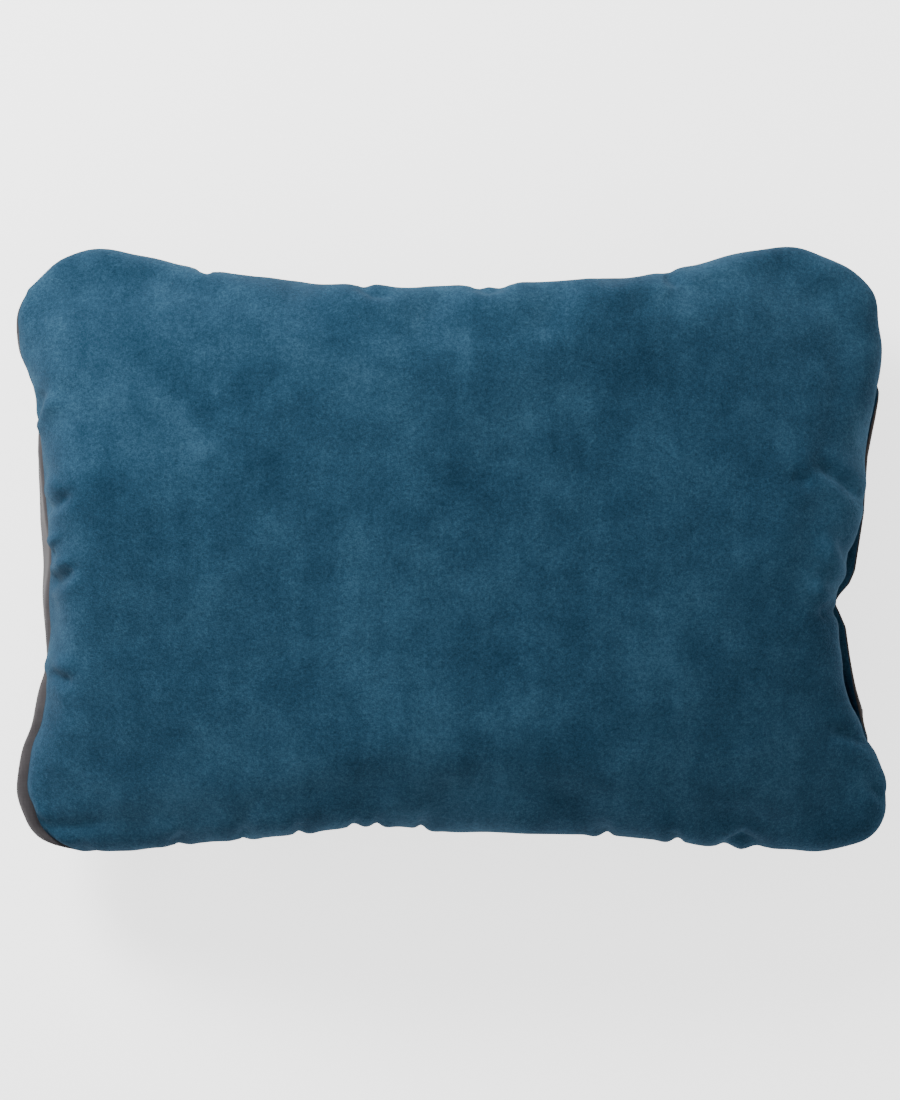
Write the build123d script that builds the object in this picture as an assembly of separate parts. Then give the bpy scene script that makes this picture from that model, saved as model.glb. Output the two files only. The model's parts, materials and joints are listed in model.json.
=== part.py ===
from build123d import *
import math
import os

# A camp pillow that stows in its own pocket. It lies on its back: +X to the right, +Y towards the
# top edge, +Z through the thickness, and the origin is in the middle of the face it rests on.
# All sizes are in millimetres. The soft pieces are plain faceted solids.

# ---- driving dimensions: the pillow ----
LENGTH = 460.0                  # corner to corner along X
DEPTH = 320.0                   # corner to corner along Y
LOFT = 120.0                    # thickness at the crown
SEAM_HEIGHT = 52.0              # height of the perimeter seam above the floor
SEAM_PARTING = 0.4              # space between the two panels' cut edges at the seam
FABRIC = 0.8                    # brushed knit and lining fabric
FIT_GAP = 0.3                   # air between one layer and the next
FILL_GAP = 1.0                  # air between the fill and the back panel
CROWN_FLAT = 0.16               # size of the flat spot on the crown, as a share of the outline
REST_FLAT = 0.50                # size of the flat spot under the body, as a share of the outline
LEVELS = 7                      # sections from the seam to the crown or the foot

# ---- driving dimensions: the perimeter seam ----
STITCH_INSET = 3.6              # stitch line, behind the folded edge
STITCH_WIDTH = 0.8
ALLOWANCE_WIDTH = 9.0           # turned-in edges of the panels
ALLOWANCE_THICKNESS = 2.0
LABEL_SIZE = (26.0, 0.5, 30.0)
LABEL_FOOT = Vector(-130.0, -144.8, 20.0)
LABEL_LEAN = 20.0               # degrees from upright

# ---- driving dimensions: the stow pocket ----
POCKET_EDGE_X = -20.0           # the pocket's closed edge, stitched to the back panel
POCKET_GAP = 0.6                # air between the pocket and the body where they lie together
POCKET_FLAT = 0.80              # size of the pocket's flat foot, as a share of the outline
POCKET_SHIFT = 150.0            # the pocket shrinks towards this X, so its right end hangs slack
MOUTH_CENTRE_Y = -9.0
MOUTH_WIDTH = 196.0
MOUTH_SAG = 41.0                # how far the pocket's edge hangs below the seam at mid width
MOUTH_CUT_LENGTH = 150.0        # of the scoop that shapes the mouth, long enough to clear the rim
FACING_DEPTH = 10.0             # height of the blue facing inside the lip
STITCH_SIZE = (3.0, 0.5)        # length and thickness of one topstitch
STITCH_PITCH = 4.5
STITCH_GAP = 0.05
EDGE_SEAM_LENGTH = 117.0        # stitched stretch along the flat of the back
EDGE_SEAM_SETBACK = 3.0         # from the pocket's closed edge to its stitches
BARTACK_SIZE = (1.0, 10.0, 2.0)
BARTACK_OUTSET = 2.5            # the bartacks stand outside the pocket's wall

# ---- driving dimensions: the lip's hem, the drawcord and its lock ----
HEM_WIDTH = 12.0
HEM_THICKNESS = 5.0
CORD_DIAMETER = 2.5
CORD_SPACING = 2.8              # between the two legs of the cord where they leave the hem
CORD_BEND = 3.2                 # radius of the cord where it turns out of the hem
EXIT = Vector(200.0, -28.0, 20.5)      # where both legs of the cord leave the hem, towards -X
NOTCH_RADIUS = 20.0             # the two bends of the hem beside the exit
EYELET_OUTER = 9.0
EYELET_BORE = 6.4
EYELET_THICKNESS = 0.7
EYELET_STANDOFF = 0.4           # the hem's cloth bulges a little around the eyelet
BARREL_DIAMETER = 11.0
BARREL_BORE = 8.4
BARREL_CLOSED_END = 12.0        # from the cord's centre to the closed end
BARREL_OPEN_END = 7.0           # from the cord's centre to the open end
BARREL_FLOOR = 1.5
BARREL_STANDOFF = 0.2           # between the eyelet and the barrel
PLUNGER_DIAMETER = 8.3
PLUNGER_FOOT = 3.6              # from the cord's centre to the plunger's inner end
PLUNGER_TOP = 11.0              # from the cord's centre to the face that is pressed
PLUNGER_TRAVEL = 3.0
PINCH_HALF_GAP = 1.4            # half the window that the spring leaves for the cord
CORD_HOLE_HEIGHT = 6.2
BARREL_ROUNDING = 0.6
SPRING_DIAMETER = 6.4
SPRING_WIRE = 0.5
SPRING_TURNS = 4
SPRING_CLEARANCE = 0.02
CORD_END_HEIGHT = 7.6
CORD_END_WIDTH = 4.6
CORD_END_LENGTH = 7.0
CORD_END_CAP = 1.2
CORD_END_ROUNDING = 0.5
ROUND_SHARE = 0.45              # share of the shorter run that each arc of a route takes up

# The seam line of the body, anticlockwise from the middle of the right end.
BODY_OUTLINE = [
    (216, 30), (219, 60), (226, 90), (228, 115), (222, 138), (205, 153), (180, 159), (140, 152),
    (90, 143), (30, 138), (-30, 137), (-90, 143), (-140, 152), (-180, 159), (-205, 154), (-222, 138),
    (-228, 115), (-220, 75), (-217, 30), (-215, -25), (-217, -70), (-225, -100), (-230, -128),
    (-222, -149), (-200, -159), (-150, -155), (-90, -148), (-30, -145), (40, -149), (100, -152),
    (150, -157), (200, -160), (222, -151), (229, -130), (224, -108), (212, -86), (204, -58), (202, -28),
    (209, 2),
]

# The line of the lip's hem, from the upper end of the mouth to the lower one.
HEM_ROUTE = [
    (222.0, 70.0, 42.0), (217.5, 36.0, 29.0), (210.0, 4.0, 21.5), (200.0, -19.0, 20.5),
    (200.0, -37.0, 20.5), (207.5, -60.0, 28.0), (216.0, -84.0, 42.0),
]


def fitted(points):
    """The outline, stretched and centred so that it measures the pillow's length and depth."""
    low_x = min(x for x, _ in points)
    high_x = max(x for x, _ in points)
    low_y = min(y for _, y in points)
    high_y = max(y for _, y in points)
    return [
        (
            (x - (low_x + high_x) / 2) * LENGTH / (high_x - low_x),
            (y - (low_y + high_y) / 2) * DEPTH / (high_y - low_y),
        )
        for x, y in points
    ]


def moved_in(points, distance):
    """The outline's points, moved inwards along the outline's own normal."""
    result = []
    for index, (x, y) in enumerate(points):
        before = points[index - 1]
        after = points[(index + 1) % len(points)]
        along = Vector(after[0] - before[0], after[1] - before[1]).normalized()
        result.append((x - along.Y * distance, y + along.X * distance))
    return result


def polygon(knots):
    """A closed loop of straight edges."""
    return Wire.make_polygon(knots, close=True)


def dome_levels(points, seam_height, last_height, flat, shift):
    """The sections of half a stuffed shape, from the seam to its crown or down to its foot."""
    levels = []
    for level in range(LEVELS):
        share = math.sin(0.5 * math.pi * level / (LEVELS - 1))
        scale = math.sqrt(1.0 - (1.0 - flat ** 2) * share ** 2)
        height = seam_height + (last_height - seam_height) * share
        levels.append([Vector(shift + (x - shift) * scale, y * scale, height) for x, y in points])
    return levels


def dome_faces(levels):
    """The facets between the sections, and the flat face that closes the last one."""
    faces = [Face(polygon(levels[-1]))]
    for lower, upper in zip(levels, levels[1:]):
        for index in range(len(lower)):
            corners = [lower[index - 1], lower[index], upper[index], upper[index - 1]]
            faces.append(Face(polygon(corners)))
    return faces


def dome(points, seam_height, last_height, flat):
    """Half of a stuffed shape as a full solid."""
    levels = dome_levels(points, seam_height, last_height, flat, 0)
    return Solid(Shell(dome_faces(levels) + [Face(polygon(levels[0]))]))


def skin(points, thickness, seam_height, last_height, flat, shift=0.0):
    """A layer of cloth in the shape of half a stuffed body, open at the seam."""
    inner_height = last_height + math.copysign(thickness, seam_height - last_height)
    outer = dome_levels(points, seam_height, last_height, flat, shift)
    inner = dome_levels(moved_in(points, thickness), seam_height, inner_height, flat, shift)
    rim = Face(polygon(outer[0]), [polygon(inner[0])])
    return Solid(Shell(dome_faces(outer) + dome_faces(inner) + [rim]))


def seam_ring(outer_inset, inner_inset):
    """A flat ring between the two panels, following the seam."""
    area = Face(
        polygon([Vector(x, y) for x, y in moved_in(SEAM_LINE, outer_inset)]),
        [polygon([Vector(x, y) for x, y in moved_in(SEAM_LINE, inner_inset)])],
    )
    return Pos(0, 0, ALLOWANCE_LOW) * extrude(area, ALLOWANCE_THICKNESS)


def corner_radii(points):
    """The radius of each corner of a route, as large as its two runs allow."""
    radii = []
    for before, corner, after in zip(points, points[1:], points[2:]):
        first = Vector(*corner) - Vector(*before)
        second = Vector(*after) - Vector(*corner)
        half_turn = math.radians(first.get_angle(second)) / 2.0
        radii.append(ROUND_SHARE * min(first.length, second.length) / math.tan(half_turn))
    return radii


def upright_section(path, sketch):
    """The sketch, stood across the start of a path with its own Y upright."""
    along = path % 0
    return Plane(path @ 0, x_dir=Vector(0, 0, 1).cross(along), z_dir=along) * sketch


def save(name, shape):
    shape.label = name
    export_step(shape, f"parts/{name}.step")


SEAM_LINE = fitted(BODY_OUTLINE)
SEAM_EDGE_LOW = SEAM_HEIGHT - SEAM_PARTING / 2
SEAM_EDGE_HIGH = SEAM_HEIGHT + SEAM_PARTING / 2
ALLOWANCE_LOW = SEAM_HEIGHT - ALLOWANCE_THICKNESS / 2
ALLOWANCE_HIGH = SEAM_HEIGHT + ALLOWANCE_THICKNESS / 2
BACK_INSET = FABRIC + POCKET_GAP
FILL_INSET = BACK_INSET + FABRIC + FILL_GAP
ALLOWANCE_INSET = STITCH_INSET + STITCH_WIDTH
EYELET_FACE_X = EXIT.X - HEM_THICKNESS / 2 - EYELET_STANDOFF - EYELET_THICKNESS
BARREL_X = EYELET_FACE_X - BARREL_STANDOFF - BARREL_DIAMETER / 2
CORD_END_X = BARREL_X - BARREL_DIAMETER / 2 - BARREL_STANDOFF - CORD_END_LENGTH


# ---- the stuffed body ----
def make_front_panel():
    return skin(SEAM_LINE, FABRIC, SEAM_EDGE_HIGH, LOFT, CROWN_FLAT)


def make_back_panel():
    return skin(moved_in(SEAM_LINE, BACK_INSET), FABRIC, SEAM_EDGE_LOW, BACK_INSET, REST_FLAT)


def make_fill():
    outline = moved_in(SEAM_LINE, FILL_INSET)
    upper = dome(outline, ALLOWANCE_HIGH, LOFT - FABRIC - FIT_GAP, CROWN_FLAT)
    lower = dome(outline, ALLOWANCE_LOW, FILL_INSET, REST_FLAT)
    core = moved_in(SEAM_LINE, ALLOWANCE_INSET + ALLOWANCE_WIDTH)
    middle = extrude(Face(polygon([Vector(x, y) for x, y in core])), ALLOWANCE_THICKNESS)
    return upper + lower + Pos(0, 0, ALLOWANCE_LOW) * middle


def make_perimeter_stitching():
    return seam_ring(STITCH_INSET, ALLOWANCE_INSET)


def make_seam_allowance():
    return seam_ring(ALLOWANCE_INSET, ALLOWANCE_INSET + ALLOWANCE_WIDTH)


def make_care_label():
    return Pos(LABEL_FOOT) * Rot(LABEL_LEAN, 0, 0) * Pos(0, 0, LABEL_SIZE[2] / 2) * Box(*LABEL_SIZE)


# ---- the stow pocket ----
def mouth_cutter(drop):
    """A long round bar across the right end, which scoops the mouth out of the pocket's rim."""
    half = MOUTH_WIDTH / 2
    radius = (half ** 2 + drop ** 2) / (2 * drop)
    middle = Vector(LENGTH / 2, MOUTH_CENTRE_Y, SEAM_HEIGHT - drop + radius)
    return Pos(middle) * Rot(0, 90, 0) * Cylinder(radius, MOUTH_CUT_LENGTH)


def make_pocket_panel():
    cloth = skin(SEAM_LINE, FABRIC, SEAM_EDGE_LOW, 0, POCKET_FLAT, POCKET_SHIFT)
    left_part = Pos(POCKET_EDGE_X - LENGTH / 2, 0, 0) * Box(LENGTH, 2 * DEPTH, 2 * LOFT)
    return cloth - left_part - mouth_cutter(MOUTH_SAG)


def make_pocket_facing():
    inset = FABRIC + FIT_GAP
    cloth = skin(moved_in(SEAM_LINE, inset), FABRIC, SEAM_EDGE_LOW, inset, POCKET_FLAT, POCKET_SHIFT)
    return (cloth & mouth_cutter(MOUTH_SAG + FACING_DEPTH)) - mouth_cutter(MOUTH_SAG)


def make_pocket_edge_stitching():
    """Stitches that hold the pocket's closed edge to the flat of the back panel."""
    count = int(EDGE_SEAM_LENGTH / STITCH_PITCH)
    stitches = []
    for index in range(count):
        y = (index + 0.5) * STITCH_PITCH - EDGE_SEAM_LENGTH / 2
        stitch = Box(STITCH_SIZE[1], STITCH_SIZE[0], POCKET_GAP)
        stitches.append(Pos(POCKET_EDGE_X + EDGE_SEAM_SETBACK, y, FABRIC + POCKET_GAP / 2) * stitch)
    return Compound(stitches)


# ---- the lip ----
def lip_path():
    """The middle line of the hem, with its corners rounded."""
    radii = corner_radii(HEM_ROUTE)
    radii[2] = NOTCH_RADIUS
    radii[3] = NOTCH_RADIUS
    return FilletPolyline(*HEM_ROUTE, radius=radii)


def make_lip_hem():
    """The tunnel along the lip: a flattened tube with a hole for the cord on its inner side."""
    path = lip_path()
    bore = SlotOverall(HEM_WIDTH - 2 * FABRIC, HEM_THICKNESS - 2 * FABRIC, 90)
    tube = sweep(upright_section(path, SlotOverall(HEM_WIDTH, HEM_THICKNESS, 90) - bore), path=path)
    wall = Pos(EXIT - Vector(HEM_THICKNESS / 2, 0, 0)) * Rot(0, 90, 0)
    return tube - wall * Cylinder(EYELET_BORE / 2, HEM_THICKNESS / 2)


def make_hem_stitching():
    """A row of topstitches on the outer face of the hem, near its lower fold."""
    path = lip_path()
    count = int(path.length / STITCH_PITCH)
    stitches = []
    for index in range(count):
        place = (index + 0.5) / count
        along = path % place
        outward = along.cross(Vector(0, 0, -1)).normalized()
        if outward.X < 0:
            outward = -outward
        centre = path @ place + outward * (HEM_THICKNESS / 2 + STITCH_SIZE[1] / 2 + STITCH_GAP)
        spot = Plane(centre, x_dir=along, z_dir=outward)
        stitches.append(spot * Box(STITCH_SIZE[0], STITCH_SIZE[1], STITCH_SIZE[1]))
    return Compound(stitches)


def make_bartack(end_point, beyond):
    """A dense bar of thread that closes one end of the mouth."""
    centre = Vector(*end_point) + Vector(BARTACK_OUTSET, beyond * (BARTACK_SIZE[1] / 2 + FIT_GAP), 0)
    return Pos(centre) * Box(*BARTACK_SIZE)


def make_exit_eyelet():
    face_x = EXIT.X - HEM_THICKNESS / 2 - EYELET_STANDOFF - EYELET_THICKNESS / 2
    washer = Cylinder(EYELET_OUTER / 2, EYELET_THICKNESS) - Cylinder(EYELET_BORE / 2, EYELET_THICKNESS)
    return Pos(face_x, EXIT.Y, EXIT.Z) * Rot(0, 90, 0) * washer


# ---- the drawcord and its lock ----
def cord_leg(half_route, side):
    """One leg: from its end of the mouth, through the hem, out at the exit and into the cord end."""
    exit_height = EXIT.Z + side * CORD_SPACING / 2
    turn = Vector(EXIT.X, EXIT.Y, exit_height)
    finish = Vector(CORD_END_X + CORD_END_CAP, EXIT.Y, exit_height)
    points = [Vector(*point) for point in half_route] + [turn, finish]
    radii = corner_radii(half_route + [tuple(turn)])
    radii[-1] = NOTCH_RADIUS
    path = FilletPolyline(*points, radius=radii + [CORD_BEND])
    print("cord leg", round(path.length, 1), "mm, radii", [round(radius, 1) for radius in radii])
    return sweep(upright_section(path, Circle(CORD_DIAMETER / 2)), path=path)


def make_drawcord():
    return Compound([cord_leg(HEM_ROUTE[:4], 1), cord_leg(HEM_ROUTE[:3:-1], -1)])


def lock_place():
    """The lock's own frame: its centre on the cord, its length along Z, the cord along X."""
    return Plane((BARREL_X, EXIT.Y, EXIT.Z), x_dir=(1, 0, 0), z_dir=(0, 1, 0))


def along_lock(shape, low, high):
    """A shape of height 1 centred on its origin, stretched between two places along the lock."""
    return Pos(0, 0, low) * extrude(shape, high - low)


def cord_window(low, high):
    """A flat-sided hole for both legs of the cord, right across the lock."""
    hole = Box(2 * BARREL_DIAMETER, CORD_HOLE_HEIGHT, high - low)
    return Pos(0, 0, (low + high) / 2) * hole


def make_barrel():
    shell = along_lock(Circle(BARREL_DIAMETER / 2), -BARREL_CLOSED_END, BARREL_OPEN_END)
    shell = fillet(shell.edges().filter_by(GeomType.CIRCLE), BARREL_ROUNDING)
    shell -= along_lock(Circle(BARREL_BORE / 2), -BARREL_CLOSED_END + BARREL_FLOOR, BARREL_OPEN_END)
    shell -= cord_window(-PINCH_HALF_GAP - PLUNGER_TRAVEL, PINCH_HALF_GAP)
    return lock_place() * shell


def make_plunger():
    body = along_lock(Circle(PLUNGER_DIAMETER / 2), -PLUNGER_FOOT, PLUNGER_TOP)
    body = fillet(body.edges().filter_by(GeomType.CIRCLE).sort_by(Axis.Z)[-1:], BARREL_ROUNDING)
    body -= cord_window(-PINCH_HALF_GAP, PINCH_HALF_GAP + PLUNGER_TRAVEL)
    return lock_place() * body


def make_spring():
    low = -BARREL_CLOSED_END + BARREL_FLOOR + SPRING_WIRE / 2 + SPRING_CLEARANCE
    high = -PLUNGER_FOOT - SPRING_WIRE / 2 - SPRING_CLEARANCE
    path = Helix((high - low) / SPRING_TURNS, high - low, SPRING_DIAMETER / 2 - SPRING_WIRE / 2)
    wire = Plane(path @ 0, z_dir=path % 0) * Circle(SPRING_WIRE / 2)
    coil = sweep(wire, path=path, is_frenet=True)
    return lock_place() * Pos(0, 0, low) * coil


def make_cord_end():
    """The moulded end that holds both legs of the cord behind the lock."""
    body = extrude(SlotOverall(CORD_END_HEIGHT, CORD_END_WIDTH, 90), CORD_END_LENGTH)
    body = fillet(body.edges().filter_by(Plane.XY), CORD_END_ROUNDING)
    for side in (-1, 1):
        socket = extrude(Circle(CORD_DIAMETER / 2), CORD_END_LENGTH)
        body -= Pos(0, side * CORD_SPACING / 2, CORD_END_CAP) * socket
    return Plane((CORD_END_X, EXIT.Y, EXIT.Z), x_dir=(0, -1, 0), z_dir=(1, 0, 0)) * body


if __name__ == "__main__":
    os.makedirs("parts", exist_ok=True)
    save("front_panel", make_front_panel())
    save("back_panel", make_back_panel())
    save("foam_fill", make_fill())
    save("seam_allowance", make_seam_allowance())
    save("perimeter_stitching", make_perimeter_stitching())
    save("care_label", make_care_label())
    save("pocket_panel", make_pocket_panel())
    save("pocket_facing", make_pocket_facing())
    save("pocket_edge_stitching", make_pocket_edge_stitching())
    save("lip_hem", make_lip_hem())
    save("hem_stitching", make_hem_stitching())
    save("upper_bartack", make_bartack(HEM_ROUTE[0], 1))
    save("lower_bartack", make_bartack(HEM_ROUTE[-1], -1))
    save("exit_eyelet", make_exit_eyelet())
    save("drawcord", make_drawcord())
    save("cord_lock_barrel", make_barrel())
    save("cord_lock_plunger", make_plunger())
    save("cord_lock_spring", make_spring())
    save("cord_end", make_cord_end())
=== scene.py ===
import bpy
import json
import math
import numpy as np
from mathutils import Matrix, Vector, noise

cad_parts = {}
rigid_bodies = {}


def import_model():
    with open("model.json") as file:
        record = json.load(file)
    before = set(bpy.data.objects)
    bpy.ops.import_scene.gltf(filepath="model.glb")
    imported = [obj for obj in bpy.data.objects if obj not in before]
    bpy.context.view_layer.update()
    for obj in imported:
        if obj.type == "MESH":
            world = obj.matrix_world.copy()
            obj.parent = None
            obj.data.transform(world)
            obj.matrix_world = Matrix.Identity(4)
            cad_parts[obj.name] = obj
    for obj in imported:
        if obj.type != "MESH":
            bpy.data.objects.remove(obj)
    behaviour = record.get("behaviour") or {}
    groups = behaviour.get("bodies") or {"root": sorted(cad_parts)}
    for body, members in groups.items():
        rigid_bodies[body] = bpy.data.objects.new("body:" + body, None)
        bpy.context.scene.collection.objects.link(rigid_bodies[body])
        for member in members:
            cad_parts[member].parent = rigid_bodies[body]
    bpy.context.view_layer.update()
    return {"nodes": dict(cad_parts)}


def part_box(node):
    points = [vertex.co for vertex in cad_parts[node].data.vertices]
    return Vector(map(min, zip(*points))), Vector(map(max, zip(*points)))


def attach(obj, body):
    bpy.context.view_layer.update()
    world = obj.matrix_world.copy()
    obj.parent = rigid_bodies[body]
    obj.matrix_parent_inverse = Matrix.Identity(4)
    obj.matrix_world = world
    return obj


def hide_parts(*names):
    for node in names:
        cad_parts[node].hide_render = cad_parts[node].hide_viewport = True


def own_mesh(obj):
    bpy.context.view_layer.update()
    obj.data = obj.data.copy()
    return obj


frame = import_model()

# ---------------------------------------------------------------- sizes, in metres
BODY = "pillow"
MM = 0.001
LOW, HIGH = (Vector(corner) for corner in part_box("front_panel"))
HALF_LENGTH = (HIGH.x - LOW.x) / 2
HALF_DEPTH = (HIGH.y - LOW.y) / 2
CROWN = HIGH.z                      # height of the crown above the floor
SEAM = LOW.z                        # height of the perimeter seam

CELLS_X, CELLS_Y = 96, 66           # cells of each panel as it is cut
CUT_HALF_X = HALF_LENGTH + 0.015    # the panels are cut larger than the stuffed pillow
CUT_HALF_Y = HALF_DEPTH + 0.017
CUT_CORNER = 0.050
FRAMES = 16                         # steps of the inflation
CELL = 2 * CUT_HALF_X / CELLS_X     # the length of a cell along X
START_BULGE = 0.012                 # half the height of the empty case

HALF_DEGREES = 720                  # the plan outline is kept as a radius at each half degree
OUTLINE_HOLD = 4                    # how fast the fit to the outline fades inwards
POINTS_PER_STRETCH = 12             # between two points of the outline

BELLY = 0.066                       # how far below the seam the underside would hang if there were no floor
FLOOR_GAP = 0.0016                  # the back panel lies on the pocket, which lies on the floor
FLOOR_SOFTNESS = 0.0035             # how gradually the floor flattens the underside
FLOOR_REACH = 0.030                 # the floor changes nothing that is higher than this
FLOOR_CLOSING = 0.012               # the height over which the last gap to the floor is closed

EDGE_DEPTH = 0.026                  # how far in from the edge the rim is reshaped
TURN = 0.35                         # where along that depth the wrapping panel stands out furthest
FRONT_TUCK, FRONT_DROP = 0.005, 0.009   # how far the seam lies in and down where the front wraps
BACK_TUCK, BACK_RISE = 0.0078, 0.006    # and how far in and up where the back wraps
SEAM_VALLEY = 0.005                 # how deep the seam sits between the two panels where it shows
LEFT_END, LEFT_BLEND = 0.170, 0.045     # how far left the back starts to wrap, and how gradually

# The plan outline of the stuffed pillow, in millimetres, anticlockwise from +X.
OUTLINE = [
    (218, 33), (219, 52), (224, 78), (228, 100), (227, 116), (224, 135), (212, 147),
    (198, 154), (180, 160), (152, 156), (110, 145), (57, 140), (26, 138), (-6, 137),
    (-22, 136), (-38, 138), (-69, 140), (-101, 144), (-133, 150), (-160, 156), (-186, 160),
    (-206, 153), (-220, 141), (-228, 127), (-229, 116), (-227, 103), (-221, 90), (-218, 75),
    (-218, 60), (-220, 45), (-219, 21), (-217, -4), (-217, -24), (-214, -55), (-219, -74),
    (-223, -93), (-228, -106), (-230, -125), (-227, -137), (-219, -150), (-203, -157), (-175, -159),
    (-133, -154), (-80, -148), (-40, -144), (4, -147), (68, -149), (110, -153), (140, -157),
    (158, -158), (176, -159), (198, -160), (216, -155), (226, -147), (230, -131), (227, -115),
    (221, -102), (212, -87), (206, -70), (204, -56), (202, -42), (200, -29), (203, -17),
    (208, -2), (214, 15),
]

# Up the left end: how high, and which panel wraps over the edge there (-1 the front, 1 the back).
WRAP_UP_THE_LEFT = [
    (-0.156, 0.8), (-0.140, 1), (-0.075, 0.9), (-0.064, 0.5), (-0.0600, -0.3), (-0.0570, 0.3),
    (-0.045, 0.8), (0.000, 1), (0.045, 0.9), (0.066, 0.5), (0.078, -0.3), (0.088, -0.3),
    (0.097, 0.4), (0.115, 0.6), (0.135, 0.35), (0.142, -0.6), (0.150, -1),
]


def smooth_step(value, start=0.0, width=1.0):
    """0 up to the start, 1 from one width further on, and a smooth change between them."""
    share = np.clip((value - start) / width, 0.0, 1.0)
    return share * share * (3 - 2 * share)


# ---------------------------------------------------------------- the stuffed case
def cut_point(u, v):
    """Where a point of the unit square lies on the flat panel, with its rounded corners."""
    x, y = CUT_HALF_X * u, CUT_HALF_Y * v
    local_x = (abs(x) - (CUT_HALF_X - CUT_CORNER)) / CUT_CORNER
    local_y = (abs(y) - (CUT_HALF_Y - CUT_CORNER)) / CUT_CORNER
    if local_x > 0 and local_y > 0:
        round_x = CUT_HALF_X - CUT_CORNER + CUT_CORNER * local_x * math.sqrt(1 - local_y ** 2 / 2)
        round_y = CUT_HALF_Y - CUT_CORNER + CUT_CORNER * local_y * math.sqrt(1 - local_x ** 2 / 2)
        x, y = math.copysign(round_x, x), math.copysign(round_y, y)
    return x, y


def flat_case():
    """Two panels sewn along their edge: points, faces and the number of each grid point."""
    points, faces, number = [], [], {}
    for side in (1, -1):
        for j in range(CELLS_Y + 1):
            for i in range(CELLS_X + 1):
                if side == -1 and (i in (0, CELLS_X) or j in (0, CELLS_Y)):
                    number[side, i, j] = number[1, i, j]
                    continue
                u, v = -1 + 2 * i / CELLS_X, -1 + 2 * j / CELLS_Y
                x, y = cut_point(u, v)
                number[side, i, j] = len(points)
                points.append((x, y, side * START_BULGE * (1 - u ** 4) * (1 - v ** 4)))
    for side in (1, -1):
        for j in range(CELLS_Y):
            for i in range(CELLS_X):
                corners = ((i, j), (i + 1, j), (i + 1, j + 1), (i, j + 1))
                ring = [number[side, column, row] for column, row in corners]
                faces.append(ring if side == 1 else ring[::-1])
    return points, faces, number


def inflate(case):
    """Stuffs the case by the pressure of a cloth simulation, and gives the points of its new shape."""
    cloth = case.modifiers.new("stuffing", "CLOTH")
    settings = cloth.settings
    settings.quality = 5
    settings.mass = 0.15
    settings.tension_stiffness = settings.compression_stiffness = 60
    settings.shear_stiffness = 30
    settings.bending_stiffness = 0.5
    settings.tension_damping = settings.compression_damping = settings.shear_damping = 8
    settings.air_damping = 2
    settings.use_pressure = True
    settings.uniform_pressure_force = 8
    settings.effector_weights.gravity = 0
    cloth.collision_settings.use_collision = False
    cloth.point_cache.frame_end = FRAMES
    for step in range(1, FRAMES + 1):
        bpy.context.scene.frame_set(step)
    swollen = case.evaluated_get(bpy.context.evaluated_depsgraph_get()).to_mesh()
    shape = np.array([vertex.co[:] for vertex in swollen.vertices])
    case.modifiers.remove(cloth)
    bpy.context.scene.frame_set(1)
    return shape


def finer(grid, factor):
    """The grid's surface, with extra points between its own."""
    for axis in (0, 1):
        grid = np.moveaxis(grid, axis, 0)
        steps = [grid[:-1] + (grid[1:] - grid[:-1]) * step / factor for step in range(factor)]
        grid = np.concatenate([np.stack(steps, 1).reshape(-1, *grid.shape[1:]), grid[-1:]])
        grid = np.moveaxis(grid, 0, axis)
    return grid


def polar_radius(shape, number, smoothing):
    """The radius of the shape's plan outline at each half degree."""
    dense = np.concatenate([finer(panel_grid(shape, number, side), 4).reshape(-1, 3) for side in (1, -1)])
    angle = np.degrees(np.arctan2(dense[:, 1], dense[:, 0])) % 360
    bins = np.zeros(HALF_DEGREES)
    np.maximum.at(bins, (angle * 2).astype(int) % HALF_DEGREES, np.hypot(dense[:, 0], dense[:, 1]))
    reach = np.arange(-12, 13)
    weights = np.exp(-(reach / smoothing) ** 2)
    weights /= weights.sum()
    return sum(weight * np.roll(bins, -shift) for shift, weight in zip(reach, weights))


def curve_point(a, b, c, d, share):
    """A point of the smooth line from b to c, with a before them and d after them."""
    slope = c - a
    bend = 2 * a - 5 * b + 4 * c - d
    twist = 3 * b - a - 3 * c + d
    return 0.5 * (2 * b + slope * share + bend * share ** 2 + twist * share ** 3)


def outline_radius():
    """The radius of the outline at each half degree, on a smooth line through its points."""
    points = np.array(OUTLINE) * MM
    dense = []
    count = len(points)
    for index in range(count):
        neighbours = [points[(index + step) % count] for step in (-1, 0, 1, 2)]
        for share in np.linspace(0, 1, POINTS_PER_STRETCH, endpoint=False):
            dense.append(curve_point(*neighbours, share))
    dense = np.array(dense)
    angle = np.degrees(np.arctan2(dense[:, 1], dense[:, 0])) % 360
    order = np.argsort(angle)
    return np.interp(np.arange(HALF_DEGREES) / 2, angle[order], np.hypot(*dense[order].T), period=360)


def fit_outline(shape, number, smoothing):
    """Moves the rim so that the plan outline is the wanted one, and eases that off inwards."""
    found = polar_radius(shape, number, smoothing)
    wanted = outline_radius()
    angle = (np.degrees(np.arctan2(shape[:, 1], shape[:, 0])) % 360) * 2
    ratio = np.interp(angle, np.arange(HALF_DEGREES), wanted / found, period=HALF_DEGREES)
    edge = np.interp(angle, np.arange(HALF_DEGREES), found, period=HALF_DEGREES)
    inward = np.clip(np.hypot(shape[:, 0], shape[:, 1]) / edge, 0, 1)
    scale = 1 + (ratio - 1) * inward ** OUTLINE_HOLD
    shape[:, 0] *= scale
    shape[:, 1] *= scale


def wrap(x, y):
    """Which panel wraps over the edge: -1 the front, as along most of it, up to 1 the back."""
    left = smooth_step(-x, LEFT_END, LEFT_BLEND)
    heights, shares = zip(*WRAP_UP_THE_LEFT)
    return -1 * (1 - left) + np.interp(y, heights, shares) * left


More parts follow.
